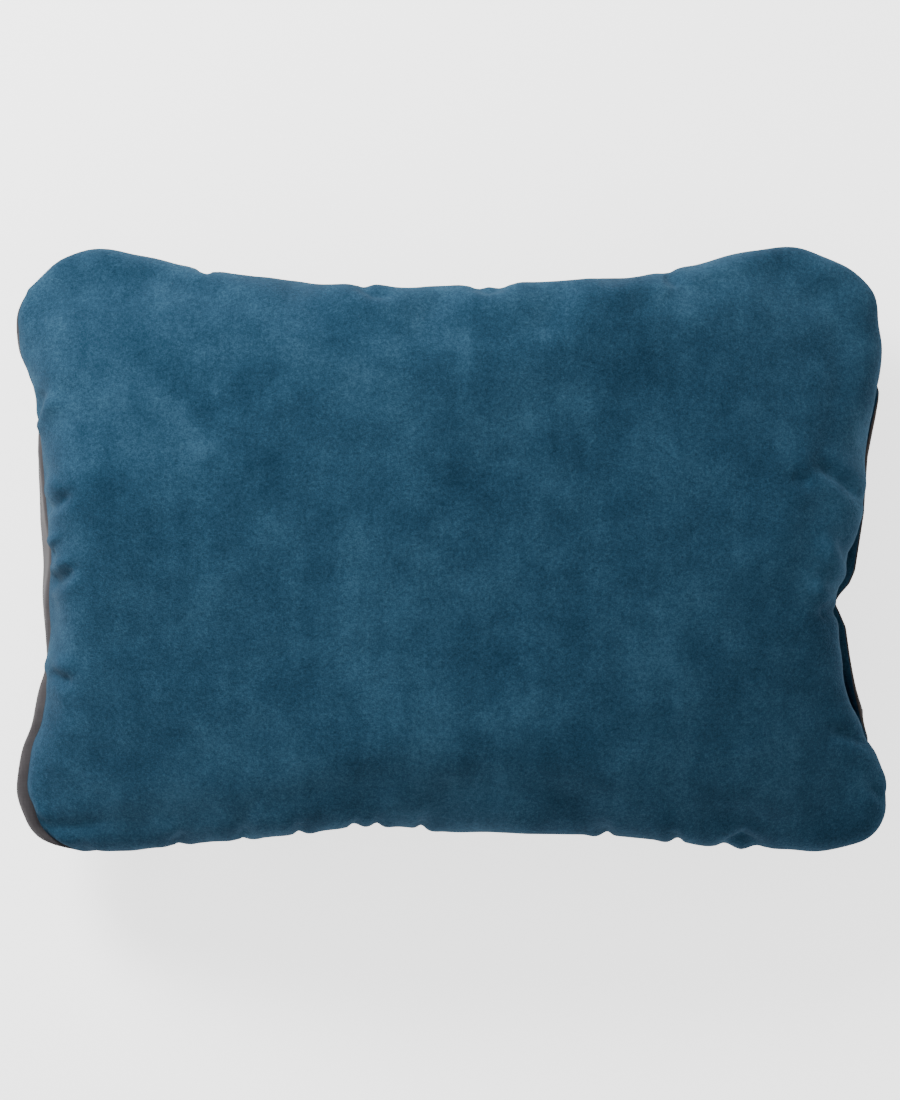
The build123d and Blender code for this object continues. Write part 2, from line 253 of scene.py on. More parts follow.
def shape_edge(shape, panel):
    """Rounds the wrapping panel over the edge, and tucks the seam in behind it."""
    angle = (np.degrees(np.arctan2(shape[:, 1], shape[:, 0])) % 360) * 2
    edge = np.interp(angle, np.arange(HALF_DEGREES), outline_radius(), period=HALF_DEGREES)
    radius = np.hypot(shape[:, 0], shape[:, 1])
    depth = np.clip(edge - radius, 0, EDGE_DEPTH)
    share = depth / EDGE_DEPTH
    lead = wrap(shape[:, 0], shape[:, 1])
    inset = np.where(lead < 0, FRONT_TUCK * -lead, BACK_TUCK * lead)
    leading = np.where(panel > 0, lead < 0, lead > 0) & (panel != 0)
    bulge = np.where(
        share < TURN,
        inset * (1 - np.minimum(share / TURN, 1)) ** 2,
        EDGE_DEPTH * np.maximum((share - TURN) / (1 - TURN), 0) ** 1.5,
    )
    straight = inset + (EDGE_DEPTH - inset) * share
    amount = np.abs(lead)
    new_depth = np.where(leading, bulge * amount + depth * (1 - amount), straight)
    new_depth = np.where(edge - radius < EDGE_DEPTH, new_depth, edge - radius)
    scale = (edge - new_depth) / np.maximum(radius, 1e-6)
    shape[:, 0] *= scale
    shape[:, 1] *= scale
    drop = np.where(lead < 0, -FRONT_DROP * -lead, BACK_RISE * lead)
    shape[:, 2] += drop * (1 - share) ** 2
    shape[:, 2] -= np.where(panel == 0, SEAM_VALLEY * np.maximum(lead, 0), 0)


def relax(shape, number, rounds, where):
    """Evens out small puckers in one panel's grid, by the share that the place asks for."""
    for _ in range(rounds):
        for side in (1, -1):
            grid = panel_grid(shape, number, side)
            smooth = grid.copy()
            smooth[1:-1, 1:-1] = (grid[:-2, 1:-1] + grid[2:, 1:-1] + grid[1:-1, :-2] + grid[1:-1, 2:]) / 4
            for row in (0, -1):
                smooth[row, 1:-1] = (grid[row, :-2] + grid[row, 2:]) / 2
                smooth[1:-1, row] = (grid[:-2, row] + grid[2:, row]) / 2
            share = where(grid)[..., None]
            grid = grid * (1 - share) + smooth * share
            for (which, i, j), index in number.items():
                if which == side:
                    shape[index] = grid[j, i]


def calm(grid):
    """Where the cloth is drawn smooth: all of the left end, and a little of the rest of the rim."""
    x, y = grid[..., 0], grid[..., 1]
    left = smooth_step(-x, 0.140, 0.04)
    right = smooth_step(x, 0.160, 0.03)
    corner = smooth_step(np.abs(x), 0.17, 0.03) * smooth_step(np.abs(y), 0.10, 0.03)
    return 0.12 + 0.5 * np.maximum(np.maximum(left, 0.7 * right), corner)


def settle(shape):
    """Sets the loft, and lets the underside lie flat on the floor."""
    up = shape[:, 2]
    top, bottom = up.max(), -up.min()
    high = SEAM + up * (CROWN - SEAM) / top
    low = SEAM + up * BELLY / bottom
    height = np.where(up > 0, high, low)
    rise = height - FLOOR_GAP
    flattened = FLOOR_SOFTNESS * np.logaddexp(0, rise / FLOOR_SOFTNESS)
    height = FLOOR_GAP + np.where(rise < FLOOR_REACH, flattened, rise)
    height -= (height.min() - FLOOR_GAP) * np.exp(-(height / FLOOR_CLOSING) ** 2)
    shape[:, 2] = np.maximum(height, FLOOR_GAP)


def panel_grid(shape, number, side):
    """The panel as an array of points, by row and column."""
    grid = np.zeros((CELLS_Y + 1, CELLS_X + 1, 3))
    for (which, i, j), index in number.items():
        if which == side:
            grid[j, i] = shape[index]
    return grid


def grid_object(name, grid, flip=False, closed=False):
    """A mesh of quads over an array of points."""
    rows, columns = grid.shape[:2]
    quads = []
    for j in range(rows if closed else rows - 1):
        for i in range(columns - 1):
            following = (j + 1) % rows
            low, high = j * columns + i, following * columns + i
            ring = (low, low + 1, high + 1, high)
            quads.append(ring[::-1] if flip else ring)
    return mesh_object(name, grid.reshape(-1, 3), quads)


def mesh_object(name, points, faces):
    """A smooth-shaded mesh of its own, linked into the scene."""
    mesh = bpy.data.meshes.new(name)
    mesh.from_pydata([tuple(map(float, point)) for point in points], [], faces)
    mesh.validate()
    for polygon in mesh.polygons:
        polygon.use_smooth = True
    piece = bpy.data.objects.new(name, mesh)
    bpy.context.scene.collection.objects.link(piece)
    return piece


def apply_modifiers(piece):
    """Bakes the piece's modifiers into its mesh."""
    done = bpy.data.meshes.new_from_object(piece.evaluated_get(bpy.context.evaluated_depsgraph_get()))
    piece.modifiers.clear()
    old = piece.data
    piece.data = done
    bpy.data.meshes.remove(old)


def subdivide(piece, levels):
    smoother = piece.modifiers.new("smoother", "SUBSURF")
    smoother.levels = smoother.render_levels = levels
    apply_modifiers(piece)


def thicken(piece, thickness):
    """Gives a sheet its thickness, half to each side."""
    walls = piece.modifiers.new("walls", "SOLIDIFY")
    walls.thickness = thickness
    walls.offset = 0
    apply_modifiers(piece)


# ---------------------------------------------------------------- the creases of the front
CREASE_STRENGTH = 1.35              # times the depths below
CREASE_SPREAD = 1.35                # times the half widths below
SHOULDER_SHARE = 0.25               # the swelling beside a crease, as a share of the crease's depth
SHOULDER_PLACE, SHOULDER_WIDTH = 2.2, 1.4  # where it lies and how wide it is, in half widths of the crease
INLAND_CELLS = 1.5                  # how many cells in from the seam a crease reaches its full depth

# Each is a line of points in millimetres, its depth and its half width. A depth below zero is a ridge.
CREASES = [
    ([(-206, 80), (-211, 70), (-215, 60)], -2.2, 3.5),
    ([(-213, 84), (-218, 68)], 2.2, 3.0),
    ([(-203, 37), (-216, 29)], -1.6, 3.5),
    ([(-196, 29), (-204, 24), (-211, 20)], 2.2, 2.4),
    ([(-204, 3), (-208, 8)], -1.5, 3.5),
    ([(-206, -4), (-213, -2)], 2.0, 2.6),
    ([(-195, -10), (-203, -15), (-211, -17)], 2.6, 2.4),
    ([(-196, -5), (-204, -9)], -1.4, 3.5),
    ([(-196, -69), (-204, -67), (-210, -64)], 2.2, 2.6),
    ([(-223, -138), (-219, -142), (-213, -146)], 3.0, 2.0),
    ([(-213, -146), (-197, -146), (-180, -142)], 1.3, 3.2),
    ([(-208, -152), (-192, -151)], -1.3, 3.5),
    ([(190, 45), (198, 40), (206, 34), (214, 26)], 2.6, 2.6),
    ([(176, 38), (187, 35)], 1.2, 3.0),
    ([(194, 8), (199, -6), (204, -18)], -2.0, 3.8),
    ([(187, -15), (194, -24), (201, -33)], -2.0, 3.8),
    ([(200, 6), (206, -4)], 1.6, 3.0),
    ([(192, -34), (200, -29)], 2.4, 3.2),
    ([(198, -93), (208, -96), (220, -101)], 2.4, 2.8),
    ([(220, -122), (229, -131)], 1.8, 2.4),
    ([(-48, 138), (-40, 133), (-30, 132)], 2.2, 2.4),
    ([(10, 138), (20, 135), (31, 138)], 1.9, 2.4),
    ([(-132, 150), (-124, 147)], 1.8, 2.2),
    ([(112, 144), (119, 138)], 2.0, 2.6),
    ([(-145, -155), (-138, -148)], 1.7, 2.2),
    ([(-110, -151), (-105, -144)], 1.7, 2.2),
    ([(-80, -149), (-77, -142)], 1.7, 2.2),
    ([(-52, -146), (-46, -140)], 1.6, 2.0),
    ([(-39, -145), (-37, -139)], 1.6, 2.0),
    ([(-16, -147), (-13, -141)], 1.6, 2.0),
    ([(83, -151), (80, -144)], 1.8, 2.2),
    ([(120, -155), (116, -147)], 1.8, 2.2),
    ([(140, -157), (153, -150), (165, -157)], 2.8, 2.4),
]


def read_mesh(mesh):
    """The mesh's points and their normals, as arrays."""
    arrays = []
    for attribute in ("co", "normal"):
        values = np.empty(len(mesh.vertices) * 3)
        mesh.vertices.foreach_get(attribute, values)
        arrays.append(values.reshape(-1, 3))
    return arrays


def write_mesh(mesh, place):
    mesh.vertices.foreach_set("co", place.ravel())
    mesh.update()


def mark_inland(piece, grid):
    """Notes how far in from the seam each point lies: 0 on it, and 1 a little way inwards."""
    rows, columns = grid.shape[:2]
    j, i = np.mgrid[:rows, :columns]
    cells_in = np.minimum(np.minimum(i, columns - 1 - i), np.minimum(j, rows - 1 - j))
    values = np.clip(cells_in / INLAND_CELLS, 0, 1).ravel().astype(float)
    piece.data.attributes.new("inland", "FLOAT", "POINT").data.foreach_set("value", values)


def inland(mesh):
    """What mark_inland noted, as an array with a value for each point."""
    values = np.empty(len(mesh.vertices))
    mesh.attributes["inland"].data.foreach_get("value", values)
    return values


def crease(piece):
    """Presses the creases into a panel along its own normals, and leaves its seam alone."""
    place, normal = read_mesh(piece.data)
    count = len(place)
    push = np.zeros(count)
    flat = place[:, :2] / MM
    for line, depth, width in CREASES:
        width *= CREASE_SPREAD
        nearest = np.full(count, 1e9)
        taper = np.zeros(count)
        runs = list(zip(line, line[1:]))
        for number_of_run, (start, end) in enumerate(runs):
            start, end = np.array(start, float), np.array(end, float)
            run = end - start
            share = np.clip(((flat - start) @ run) / (run @ run), 0, 1)
            distance = np.hypot(*(flat - start - share[:, None] * run).T)
            along = (number_of_run + share) / len(runs)
            taper = np.where(distance < nearest, along, taper)
            nearest = np.minimum(nearest, distance)
        fade = np.clip(4 * taper * (1 - taper) + 0.25, 0, 1)  # a quarter at the two ends of the line
        push -= depth * fade * np.exp(-(nearest / width) ** 2)
        if depth > 0:
            beside = (nearest - SHOULDER_PLACE * width) / (SHOULDER_WIDTH * width)
            push += SHOULDER_SHARE * depth * fade * np.exp(-beside ** 2)
    push *= CREASE_STRENGTH * MM * inland(piece.data)
    write_mesh(piece.data, place + normal * push[:, None])


def undulate(piece, height, size, seed):
    """Soft unevenness of the filling."""
    place, normal = read_mesh(piece.data)
    shift = Vector((seed, seed, seed))
    swell = np.array([noise.noise(Vector(point) / size + shift) for point in place])
    write_mesh(piece.data, place + normal * (height * swell * inland(piece.data))[:, None])


# ---------------------------------------------------------------- materials
def node_material(name, roughness):
    """A material with the standard shader, its node tree, and that shader."""
    material = bpy.data.materials.new(name)
    material.use_nodes = True
    shader = material.node_tree.nodes["Principled BSDF"]
    shader.inputs["Roughness"].default_value = roughness
    return material, material.node_tree, shader


def noise_node(tree, coordinates, scale, detail=3.0, rough=0.55):
    node = tree.nodes.new("ShaderNodeTexNoise")
    node.inputs["Scale"].default_value = scale
    node.inputs["Detail"].default_value = detail
    node.inputs["Roughness"].default_value = rough
    tree.links.new(coordinates, node.inputs["Vector"])
    return node.outputs["Fac"]


def mapped(tree, coordinates, scale, rotation=(0, 0, 0)):
    node = tree.nodes.new("ShaderNodeMapping")
    node.inputs["Scale"].default_value = scale
    node.inputs["Rotation"].default_value = rotation
    tree.links.new(coordinates, node.inputs["Vector"])
    return node.outputs["Vector"]


def math_node(tree, operation, first, second):
    node = tree.nodes.new("ShaderNodeMath")
    node.operation = operation
    for socket, value in zip(node.inputs, (first, second)):
        if hasattr(value, "links"):
            tree.links.new(value, socket)
        else:
            socket.default_value = value
    return node.outputs[0]


def weighted_sum(tree, *terms):
    """The sum of some values, each times its weight."""
    total = None
    for value, weight in terms:
        share = math_node(tree, "MULTIPLY", value, weight)
        total = share if total is None else math_node(tree, "ADD", total, share)
    return total


def colour_ramp(tree, value, stops):
    node = tree.nodes.new("ShaderNodeValToRGB")
    while len(node.color_ramp.elements) < len(stops):
        node.color_ramp.elements.new(0.5)
    for element, (place, colour) in zip(node.color_ramp.elements, stops):
        element.position = place
        element.color = (*colour, 1)
    tree.links.new(value, node.inputs["Fac"])
    return node.outputs["Color"]


def bump(tree, shader, height, distance, strength=1.0):
    node = tree.nodes.new("ShaderNodeBump")
    node.inputs["Distance"].default_value = distance
    node.inputs["Strength"].default_value = strength
    tree.links.new(height, node.inputs["Height"])
    tree.links.new(node.outputs["Normal"], shader.inputs["Normal"])


def brushed_cloth(name, dark, middle, light):
    """Peached cloth: a fine fibre grain, and a nap that lies this way and that in soft patches."""
    material, tree, shader = node_material(name, 0.92)
    place = tree.nodes.new("ShaderNodeTexCoord").outputs["Object"]
    turned = mapped(tree, place, (1, 1, 1), (0, 0, 0.5))
    stretched = mapped(tree, place, (110, 14, 14))
    patches = noise_node(tree, place, 16, 4, 0.6)
    blotches = noise_node(tree, turned, 48, 4, 0.62)
    streaks = noise_node(tree, stretched, 1.0, 3, 0.6)
    fibres = noise_node(tree, place, 1300, 3, 0.7)
    coarse = noise_node(tree, place, 560, 2, 0.6)
    nap = weighted_sum(tree, (patches, 0.34), (blotches, 0.26), (streaks, 0.12))
    grain = weighted_sum(tree, (fibres, 0.46), (coarse, 0.28))
    shade = math_node(tree, "ADD", nap, grain)
    colour = colour_ramp(tree, shade, [(0.58, dark), (0.73, middle), (0.91, light)])
    tree.links.new(colour, shader.inputs["Base Color"])
    shader.inputs["Sheen Weight"].default_value = 0.05
    shader.inputs["Sheen Roughness"].default_value = 0.5
    shader.inputs["Sheen Tint"].default_value = (0.35, 0.62, 0.85, 1)
    shader.inputs["Specular IOR Level"].default_value = 0.03
    bump(tree, shader, weighted_sum(tree, (fibres, 1.0), (coarse, 0.8)), 0.0005, 0.85)
    return material


def woven_cloth(name, dark, light, rib_scale=414.0, roughness=0.6):
    """Plain weave: crossing ribs of warp and weft, with a slight unevenness of colour."""
    material, tree, shader = node_material(name, roughness)
    place = tree.nodes.new("ShaderNodeTexCoord").outputs["Object"]
    ribs = []
    for direction in ("X", "Y"):
        wave = tree.nodes.new("ShaderNodeTexWave")
        wave.bands_direction = direction
        wave.inputs["Scale"].default_value = rib_scale
        wave.inputs["Distortion"].default_value = 0.6
        wave.inputs["Detail Scale"].default_value = 2.0
        tree.links.new(place, wave.inputs["Vector"])
        ribs.append(wave.outputs["Fac"])
    weave = math_node(tree, "MULTIPLY", ribs[0], ribs[1])
    cloud = noise_node(tree, place, 60, 4, 0.6)
    shade = weighted_sum(tree, (weave, 0.25), (cloud, 0.75))
    tree.links.new(colour_ramp(tree, shade, [(0.25, dark), (0.7, light)]), shader.inputs["Base Color"])
    shader.inputs["Sheen Weight"].default_value = 0.01
    shader.inputs["Specular IOR Level"].default_value = 0.05
    bump(tree, shader, weave, 0.00015, 0.6)
    return material


def speckled(name, dark, light, scale, roughness, metallic=0.0, grain=0.00006):
    """Moulded plastic, metal or thread: an even colour with a fine grain in its surface."""
    material, tree, shader = node_material(name, roughness)
    shader.inputs["Metallic"].default_value = metallic
    place = tree.nodes.new("ShaderNodeTexCoord").outputs["Object"]
    value = noise_node(tree, place, scale, 4, 0.6)
    tree.links.new(colour_ramp(tree, value, [(0.35, dark), (0.65, light)]), shader.inputs["Base Color"])
    bump(tree, shader, value, grain, 0.6)
    return material


# Each material's colours, from dark to light, and then what sets it apart.
MATERIALS = {
    "brushed_blue": brushed_cloth(
        "brushed_blue", (0.0058, 0.0214, 0.0404), (0.0133, 0.0398, 0.0696), (0.0287, 0.0750, 0.1192)
    ),
    "woven_grey": woven_cloth("woven_grey", (0.032, 0.029, 0.031), (0.060, 0.056, 0.059)),
    # The grey cloth again, for the lip's rim, tinted brownish: the tint is painted shade, as the rim lies
    # in shade.
    "painted_shade_rim_grey": woven_cloth("painted_shade_rim_grey", (0.035, 0.028, 0.026), (0.075, 0.062, 0.056)),
    "label_cloth": woven_cloth(
        "label_cloth", (0.62, 0.62, 0.61), (0.78, 0.78, 0.77), rib_scale=510.0, roughness=0.5
    ),
    "grey_thread": speckled(
        "grey_thread", (0.10, 0.095, 0.095), (0.19, 0.18, 0.18), scale=2500, roughness=0.7
    ),
    "cord": speckled(
        "cord", (0.010, 0.010, 0.012), (0.045, 0.045, 0.050), scale=1400, roughness=0.75, grain=0.0002
    ),
    "black_plastic": speckled(
        "black_plastic", (0.012, 0.012, 0.013), (0.022, 0.022, 0.024), scale=1800, roughness=0.42
    ),
    "plated_brass": speckled(
        "plated_brass", (0.24, 0.23, 0.22), (0.34, 0.33, 0.32), scale=900, roughness=0.32, metallic=1.0
    ),
    "spring_steel": speckled(
        "spring_steel", (0.5, 0.5, 0.51), (0.66, 0.66, 0.67), scale=900, roughness=0.3, metallic=1.0
    ),
}


def dress(piece, slot, *materials):
    """Gives a piece its materials, the one named by slot when no others are given, and its body."""
    piece.data.materials.clear()
    for name in materials or (slot,):
        piece.data.materials.append(MATERIALS[name])
    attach(piece, BODY)


# ---------------------------------------------------------------- the body
points, faces, number = flat_case()
case = mesh_object("case", points, faces)
shape = inflate(case)
bpy.data.objects.remove(case)
settle(shape)
relax(shape, number, 10, calm)
for smoothing in (4.0, 2.0, 1.5):
    fit_outline(shape, number, smoothing)
panel = np.zeros(len(shape))
for (side, i, j), index in number.items():
    panel[index] = 0 if i in (0, CELLS_X) or j in (0, CELLS_Y) else side
shape_edge(shape, panel)
fit_outline(shape, number, 1.5)

front_grid = panel_grid(shape, number, 1)
back_grid = panel_grid(shape, number, -1)

# Room for the cord lock that is tucked in the pocket, under the right end of the body.
LOCK_LOW, LOCK_HIGH = (Vector(corner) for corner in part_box("cord_lock_barrel"))
LOCK = (LOCK_LOW + LOCK_HIGH) / 2
LOCK_REACH_X, LOCK_REACH_Y = 0.020, 0.024  # how far around the lock the back panel is lifted
LOCK_CLEARANCE = 0.004
LOCK_LIFT = 0.016                   # at most
RESTING_HEIGHT = 0.008              # cloth below this lies on the floor, and stays there
away_x = (back_grid[..., 0] - LOCK.x) / LOCK_REACH_X
away_y = (back_grid[..., 1] - LOCK.y) / LOCK_REACH_Y
nearness = np.exp(-(away_x ** 2 + away_y ** 2))
shortfall = np.maximum(0, LOCK_HIGH.z + LOCK_CLEARANCE - back_grid[..., 2])
back_grid[..., 2] += np.minimum(shortfall, LOCK_LIFT) * nearness * (back_grid[..., 2] > RESTING_HEIGHT)

front_panel = grid_object("front_cover", front_grid)
mark_inland(front_panel, front_grid)
subdivide(front_panel, 2)
crease(front_panel)
undulate(front_panel, height=0.0011, size=0.045, seed=3)
undulate(front_panel, height=0.0004, size=0.014, seed=8)
dress(front_panel, "brushed_blue")
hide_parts("front_panel", "foam_fill", "seam_allowance", "perimeter_stitching")

back_panel = grid_object("back_cover", back_grid, flip=True)
subdivide(back_panel, 1)
dress(back_panel, "woven_grey")
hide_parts("back_panel")


# ---------------------------------------------------------------- the pocket and its lip
POCKET_START = 44                   # the grid column where the pocket's closed edge is stitched down
CLOTH_GAP = 0.0012                  # between the back panel and the pocket
POCKET_LOWEST = 0.0003              # above the floor
SEAM_STEP = 0.0006                  # how far under the back panel the pocket lies in the seam
MOUTH_TOP, MOUTH_FOOT = 0.090, -0.104
MOUTH_BLEND = 0.016                 # how soon the slack lip leaves the seam, at both ends of the mouth
LIP_REACH = 0.075                   # how far in from the lip the pocket follows it
HEM_HALF_WIDTH, HEM_HALF_THICKNESS = 0.0062, 0.0023
HEM_COLUMNS, HEM_SIDES = 120, 20
RIM_STAND_OUT = 0.0004
CAMERA_HEIGHT = 2.3

# In millimetres: the centre of the lip's hem and its rim as the camera sees it at the seam's height.
HEM_LINE = [
    (222.0, 70.0, 42.0), (217.5, 36.0, 29.0), (210.0, 4.0, 21.5), (200.0, -19.0, 20.5),
    (200.0, -37.0, 20.5), (207.5, -60.0, 28.0), (216.0, -84.0, 42.0),
]
RIM_LINE = [
    (223, 92), (226, 84), (225.5, 79), (222, 64), (219, 50), (218.6, 36), (218, 20), (215.5, 3),
    (213.5, -11), (210.5, -18), (205, -24), (202.5, -28), (205, -33), (208.5, -41), (210.3, -55),
    (213.3, -74), (217, -90), (220, -99), (220, -106),
]


def line_at(line, y, column):
    """Where a line is at the height y of the plan, and level beyond its two ends."""
    ordered = sorted(line, key=lambda point: point[1])
    return np.interp(y, [point[1] * MM for point in ordered], [point[column] * MM for point in ordered])


def normals(grid):
    """The unit normal at each point of a grid."""
    along = np.gradient(grid, axis=1)
    across = np.gradient(grid, axis=0)
    normal = np.cross(along, across)
    return normal / np.maximum(np.linalg.norm(normal, axis=-1, keepdims=True), 1e-9)


def hem_centre(y):
    """The middle of the lip's hem at the height y of the plan."""
    return np.array([line_at(HEM_LINE, y, 0), y, line_at(HEM_LINE, y, 2)])


outward = -normals(back_grid)
pocket_grid = (back_grid + outward * CLOTH_GAP)[:, POCKET_START:]
pocket_grid[..., 2] = np.maximum(pocket_grid[..., 2], POCKET_LOWEST)
for j in (0, CELLS_Y):
    pocket_grid[j] = back_grid[j, POCKET_START:] - np.array((0, 0, SEAM_STEP))
from_lip = CELL * np.arange(pocket_grid.shape[1])[::-1]
follow = 1 - smooth_step(from_lip, 0, LIP_REACH)
for j in range(CELLS_Y + 1):
    y = back_grid[j, -1, 1]
    opening = smooth_step(MOUTH_TOP - y, 0, MOUTH_BLEND) * smooth_step(y - MOUTH_FOOT, 0, MOUTH_BLEND)
    shift = (hem_centre(y) - pocket_grid[j, -1]) * opening
    pocket_grid[j] += shift * follow[:, None]
pocket_grid[..., 2] = np.maximum(pocket_grid[..., 2], POCKET_LOWEST)
pocket = grid_object("pocket_cover", pocket_grid, flip=True)
subdivide(pocket, 1)
dress(pocket, "woven_grey")
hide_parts("pocket_panel")


def hem_frames(count):
    """Along the lip: the hem's centre, and the way from there up to its rim."""
    frames = []
    middle = (MOUTH_TOP + MOUTH_FOOT) / 2
    for step in range(count + 1):
        y = MOUTH_TOP + (MOUTH_FOOT - MOUTH_TOP) * step / count
        centre = hem_centre(y)
        height = centre[2] + HEM_HALF_WIDTH * (1 - 0.7 * smooth_step(abs(y - middle), 0.075, 0.02))
        # A point above the seam's height looks further out than it is, so it lies further in than it looks.
        nearer = (CAMERA_HEIGHT - height) / (CAMERA_HEIGHT - SEAM)
        rim = np.array([line_at(RIM_LINE, y, 0) * nearer + RIM_STAND_OUT, y, height])
        frames.append((centre, rim - centre))
    return frames


def outwards_from_lip(up, along):
    """The way out of the hem's face, towards +X."""
    out = np.cross(up, along)
    return out / np.linalg.norm(out) * (1 if out[0] > 0 else -1)


frames = hem_frames(HEM_COLUMNS)
hem_grid = np.zeros((HEM_SIDES, len(frames), 3))
for column, (centre, up) in enumerate(frames):
    before = frames[max(column - 1, 0)][0]
    after = frames[min(column + 1, len(frames) - 1)][0]
    out = outwards_from_lip(up, after - before)
    for side in range(HEM_SIDES):
        turn = 2 * math.pi * side / HEM_SIDES
        hem_grid[side, column] = centre + up * math.cos(turn) + out * HEM_HALF_THICKNESS * math.sin(turn)
hem = grid_object("lip_hem_cover", hem_grid, closed=True)
dress(hem, "woven_grey", "woven_grey", "brushed_blue", "painted_shade_rim_grey")
for polygon in hem.data.polygons:
    turn = (polygon.index // HEM_COLUMNS + 0.5) / HEM_SIDES
    on_rim = turn < 0.07 or turn > 0.95
    outside = turn < 0.5
    polygon.material_index = 2 if on_rim else (0 if outside else 1)
subdivide(hem, 1)
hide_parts("lip_hem")


# The blue strip that faces the inside of the lip.
FACING_COLUMNS = 6
FACING_GAP = 0.0007                 # between the strip and the pocket
FACING_MARGIN = 0.012               # between the strip and the ends of the mouth
facing_grid = pocket_grid[:, -FACING_COLUMNS:] - outward[:, -FACING_COLUMNS:] * FACING_GAP
seam_y = back_grid[:, -1, 1]
mouth_rows = (seam_y > MOUTH_FOOT + FACING_MARGIN) & (seam_y < MOUTH_TOP - FACING_MARGIN)
facing = grid_object("pocket_facing_cover", facing_grid[mouth_rows])
subdivide(facing, 1)
dress(facing, "brushed_blue")
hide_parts("pocket_facing")


# ---------------------------------------------------------------- sewing thread
def stitches(name, slot, material, places, length, thickness, node):
    """A row of short stitches, each lying along its own direction on the cloth."""
    points, faces = [], []
    sides, rings = 6, 5
    tip = 0.25                          # the thickness of a stitch's ends, as a share of its middle
    for centre, along, out in places:
        along = along / np.linalg.norm(along)
        across = np.cross(along, out)
        across = across / np.linalg.norm(across)
        up = np.cross(across, along)
        first = len(points)
        for ring in range(rings):
            share = -1 + 2 * ring / (rings - 1)
            radius = thickness / 2 * (tip + (1 - tip) * math.sqrt(1 - share ** 2))
            sink = 0.3 * thickness * share ** 2  # its ends go down into the cloth
            for side in range(sides):
                turn = 2 * math.pi * side / sides
                offset = across * math.cos(turn) + up * math.sin(turn)
                points.append(centre + along * share * length / 2 + offset * radius - up * sink)
        for ring in range(rings - 1):
            for side in range(sides):
                low, high = first + ring * sides, first + (ring + 1) * sides
                following = (side + 1) % sides
                faces.append((low + side, low + following, high + following, high + side))
        faces.append(tuple(range(first + sides - 1, first - 1, -1)))
        faces.append(tuple(range(first + (rings - 1) * sides, first + rings * sides)))
    row = mesh_object(name, points, faces)
    dress(row, slot, material)
    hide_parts(node)


def hem_stitch_places(count):
    """On the outer face of the hem, below its middle, and clear of the two ends of the mouth."""
    places = []
    margin = 6
    for index in range(count):
        column = int(margin + (len(frames) - 2 * margin - 1) * (index + 0.5) / count)
        centre, up = frames[column]
        along = frames[column + 1][0] - frames[column - 1][0]
        out = outwards_from_lip(up, along)
        places.append((centre - 0.55 * up + out * HEM_HALF_THICKNESS * 0.86, along, out))
    return places


def pocket_edge_places(count):
    """On the underside of the pocket, down its closed edge, and clear of the perimeter seam."""
    places = []
    margin = 12
    for position in np.linspace(margin, CELLS_Y - margin, count):
        row = int(position)
        low, high = pocket_grid[row, 1], pocket_grid[row + 1, 1]
        place = low + (high - low) * (position - row)
        places.append((place - np.array((0, 0, 0.0001)), high - low, np.array((0.0, 0.0, -1.0))))
    return places


def bartack(name, node):
    """A dense bar of thread: short stitches side by side, along the bar."""
    low, high = (np.array(corner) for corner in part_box(node))
    middle = (low + high) / 2
    count = 16
    places = []
    for index in range(count):
        y = low[1] + (high[1] - low[1]) * (index + 0.5) / count
        slant = 0.1 if index % 2 else -0.1
        centre = np.array((middle[0], y, middle[2]))
        places.append((centre, np.array((0, slant, 1)), np.array((1.0, 0, 0))))
    stitches(name, "thread", "grey_thread", places, high[2] - low[2], 0.00075, node)


stitches(
    "hem_stitching_cover", "thread", "grey_thread", hem_stitch_places(42), 0.0030, 0.0006, "hem_stitching"
)
stitches(
    "pocket_edge_stitching_cover", "thread", "grey_thread", pocket_edge_places(42), 0.0030, 0.0004,
    "pocket_edge_stitching",
)
bartack("upper_bartack_cover", "upper_bartack")
bartack("lower_bartack_cover", "lower_bartack")

# ---------------------------------------------------------------- the care label, a blank tape
LABEL_LOW, LABEL_HIGH = (np.array(corner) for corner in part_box("care_label"))
LABEL_TOP_Y = LABEL_LOW[1] + 0.006  # it hangs from the seam, which is tucked in behind the edge
LABEL_CURL, LABEL_THICKNESS = 0.0012, 0.0004
label_rows, label_columns = 13, 9
label_grid = np.zeros((label_rows, label_columns, 3))
for row in range(label_rows):
    for column in range(label_columns):
        down, across = row / (label_rows - 1), column / (label_columns - 1)
        curl = LABEL_CURL * math.sin(math.pi * down) * math.cos(math.pi * (across - 0.5))
        label_grid[row, column] = (
            LABEL_LOW[0] + (LABEL_HIGH[0] - LABEL_LOW[0]) * across,
            LABEL_TOP_Y + (LABEL_HIGH[1] - LABEL_TOP_Y) * down - curl,
            LABEL_LOW[2] + (LABEL_HIGH[2] - LABEL_LOW[2]) * (1 - down),
        )
label = grid_object("care_label_cover", label_grid)
subdivide(label, 1)
thicken(label, LABEL_THICKNESS)
dress(label, "label_cloth")
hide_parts("care_label")

# ---------------------------------------------------------------- the hard pieces, as the frame has them
HARD_PIECES = {
    "exit_eyelet": "plated_brass",
    "drawcord": "cord",
    "cord_lock_barrel": "black_plastic",
    "cord_lock_plunger": "black_plastic",
    "cord_end": "black_plastic",
}
for node, material_name in HARD_PIECES.items():
    part = frame["nodes"][node]
    for member in [part, *part.children_recursive]:
        if member.type == "MESH":
            for socket in member.material_slots:
                socket.material = MATERIALS[material_name]


# The spring, which shortens as the plunger is pressed.
SPRING_LOW, SPRING_HIGH = (Vector(corner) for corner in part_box("cord_lock_spring"))
SPRING_TURNS, SPRING_WIRE_RADIUS, PLUNGER_TRAVEL = 4, 0.00025, 0.0030
SPRING_STEPS, WIRE_SIDES = 160, 8


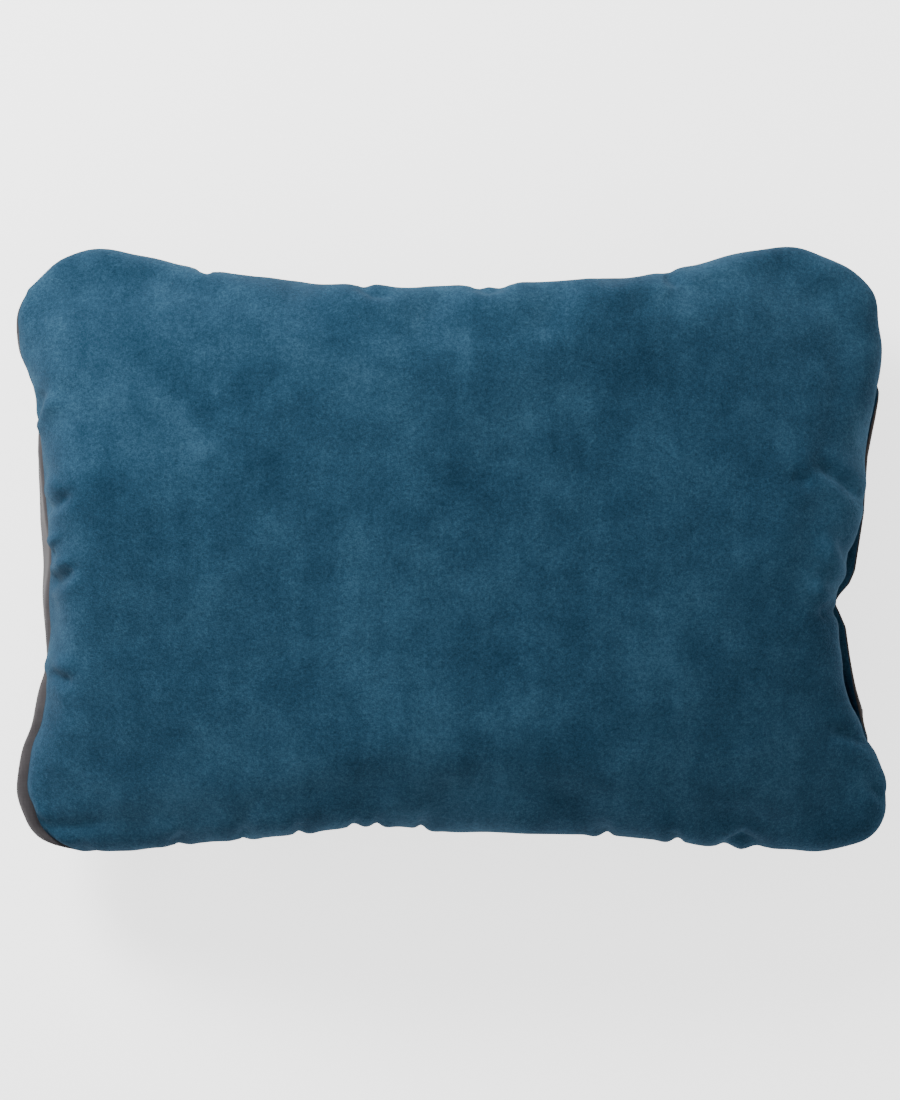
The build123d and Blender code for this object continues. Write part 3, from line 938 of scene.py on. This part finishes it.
def make_spring():
    """A coil of round wire along Y, between the plunger and the bottom of the barrel."""
    middle = (SPRING_LOW + SPRING_HIGH) / 2
    radius = (SPRING_HIGH.x - SPRING_LOW.x) / 2 - SPRING_WIRE_RADIUS
    length = SPRING_HIGH.y - SPRING_LOW.y
    grid = np.zeros((WIRE_SIDES, SPRING_STEPS + 1, 3))
    for step in range(SPRING_STEPS + 1):
        share = step / SPRING_STEPS
        angle = 2 * math.pi * SPRING_TURNS * share
        outwards = Vector((math.cos(angle), 0, math.sin(angle)))
        y = SPRING_LOW.y + SPRING_WIRE_RADIUS + (length - 2 * SPRING_WIRE_RADIUS) * share
        centre = Vector((middle.x, y, middle.z)) + outwards * radius
        for side in range(WIRE_SIDES):
            turn = 2 * math.pi * side / WIRE_SIDES
            offset = outwards * math.cos(turn) + Vector((0, math.sin(turn), 0))
            grid[side, step] = centre + offset * SPRING_WIRE_RADIUS
    spring = grid_object("cord_lock_spring_coil", grid, closed=True)
    dress(spring, "spring_steel")
    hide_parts("cord_lock_spring")
    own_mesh(spring)


make_spring()


# ---------------------------------------------------------------- the stage
FLOOR_HALF = 15
VIEW_HEIGHT = 0.580                 # what the frame shows from top to bottom, at the seam's height
SENSOR = 36


def lamp(name, place, target, size, power):
    """A square lamp of soft light, aimed at a point."""
    data = bpy.data.lights.new(name, "AREA")
    data.size = size
    data.energy = power
    light = bpy.data.objects.new(name, data)
    bpy.context.scene.collection.objects.link(light)
    light.location = place
    light.rotation_euler = (Vector(target) - Vector(place)).to_track_quat("-Z", "Y").to_euler()


floor_corners = [(x * FLOOR_HALF, y * FLOOR_HALF, 0) for x, y in ((-1, -1), (1, -1), (1, 1), (-1, 1))]
floor = mesh_object("floor", floor_corners, [(0, 1, 2, 3)])
floor_material, _, floor_shader = node_material("floor", 0.8)
floor_shader.inputs["Base Color"].default_value = (0.88, 0.88, 0.88, 1)
floor_shader.inputs["Emission Color"].default_value = (1, 1, 1, 1)
floor_shader.inputs["Emission Strength"].default_value = 1.9
floor.data.materials.append(floor_material)

lamp("key", place=(-0.95, 1.15, 0.95), target=(-0.05, 0.03, 0.05), size=0.6, power=62)
lamp("fill", place=(1.5, -0.8, 1.8), target=(0, 0, 0.05), size=1.5, power=6)
world = bpy.data.worlds.new("world")
bpy.context.scene.world = world
world.use_nodes = True
world.node_tree.nodes["Background"].inputs["Color"].default_value = (1, 1, 1, 1)
world.node_tree.nodes["Background"].inputs["Strength"].default_value = 0.75

camera_data = bpy.data.cameras.new("camera")
camera = bpy.data.objects.new("camera", camera_data)
bpy.context.scene.collection.objects.link(camera)
camera.location = (0, 0, CAMERA_HEIGHT)
camera_data.sensor_width = SENSOR
camera_data.lens = SENSOR * (CAMERA_HEIGHT - SEAM) / VIEW_HEIGHT
bpy.context.scene.camera = camera
